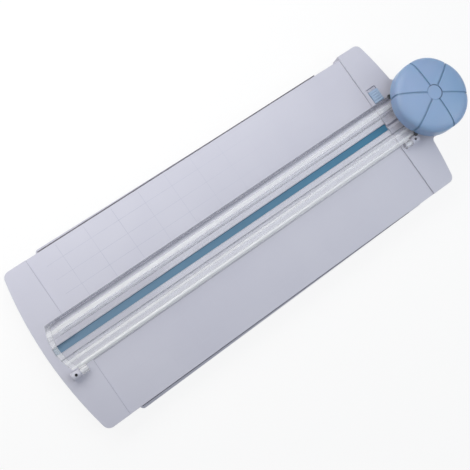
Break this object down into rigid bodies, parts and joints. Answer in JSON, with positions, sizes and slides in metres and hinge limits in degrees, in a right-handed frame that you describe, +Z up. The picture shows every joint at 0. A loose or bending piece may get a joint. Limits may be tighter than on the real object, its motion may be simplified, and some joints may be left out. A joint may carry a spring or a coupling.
{
  "type": "craft paper trimmer",
  "caption": "Desktop craft paper trimmer with a gridded bed, a hinged clear rail, a sliding press-to-cut palm head with a rotary blade, and swing-out paper arms.",
  "frame": {"origin": "on the table, at the middle of the part's length and width", "axes": "+X along the cut towards the parked head, +Y to the back, +Z up"},
  "size_m": [0.4122, 0.147, 0.0412],
  "materials": {
    "base_white": "pale lavender-white moulded plastic, fine satin",
    "slider_white": "white moulded plastic, satin",
    "rail_clear": "clear moulded plastic, polished",
    "mat_teal": "teal-blue self-healing strip, matte",
    "grip_blue": "periwinkle moulded plastic, satin gloss",
    "catch_blue": "light blue moulded plastic",
    "foot_rubber": "black rubber, matte",
    "steel": "plated steel",
    "dark_steel": "blackened steel",
    "blade_steel": "ground tool steel"
  },
  "bodies": {
    "base_body": {"base": "base_white", "cutting_mat": "mat_teal", "feet": "foot_rubber", "left_hinge_pin": "dark_steel", "right_hinge_pin": "dark_steel", "arm_pivots": "steel"},
    "rail_body": {"rail": "rail_clear", "rail_end_stop": "base_white", "stop_screw": "steel"},
    "slider_body": {"slider": "slider_white", "guide_posts": "steel", "back_spring": "steel", "front_spring": "steel"},
    "grip_body": {"grip_shell": "grip_blue", "grip_cap": "grip_blue", "grip_plate": "slider_white", "grip_screws": "steel", "blade_holder": "slider_white", "holder_screws": "steel", "blade_axle": "steel", "axle_clip": "dark_steel"},
    "blade_body": {"blade": "blade_steel", "blade_bush": "dark_steel"},
    "catch_body": {"rail_catch": "catch_blue"},
    "back_arm_body": {"back_arm": "base_white"},
    "front_arm_body": {"front_arm": "base_white"}
  },
  "joints": [
    {"name": "rail_flip", "type": "hinge", "parent": "base_body", "child": "rail_body", "pos_m": [-0.023, -0.023, 0.0185], "axis": [1, 0, 0], "range_deg": [0, 35]},
    {"name": "head_slide", "type": "slide", "parent": "rail_body", "child": "slider_body", "axis": [-1, 0, 0], "range_m": [0, 0.3525]},
    {"name": "head_press", "type": "slide", "parent": "slider_body", "child": "grip_body", "axis": [0, 0, -1], "range_m": [0, 0.0025], "stiffness_N_per_m": 1500, "springref_m": -0.002, "deforming": ["back_spring", "front_spring"]},
    {"name": "blade_spin", "type": "hinge", "parent": "grip_body", "child": "blade_body", "pos_m": [0.17288, 0, 0.0257], "axis": [0, 1, 0], "continuous": true},
    {"name": "catch_slide", "type": "slide", "parent": "base_body", "child": "catch_body", "axis": [0, 1, 0], "range_m": [0, 0.0028]},
    {"name": "back_arm_swing", "type": "hinge", "parent": "base_body", "child": "back_arm_body", "pos_m": [0.11688, 0.064, 0.0075], "axis": [0, 0, -1], "range_deg": [0, 90]},
    {"name": "front_arm_swing", "type": "hinge", "parent": "base_body", "child": "front_arm_body", "pos_m": [0.11688, -0.064, 0.0075], "axis": [0, 0, 1], "range_deg": [0, 90]}
  ]
}
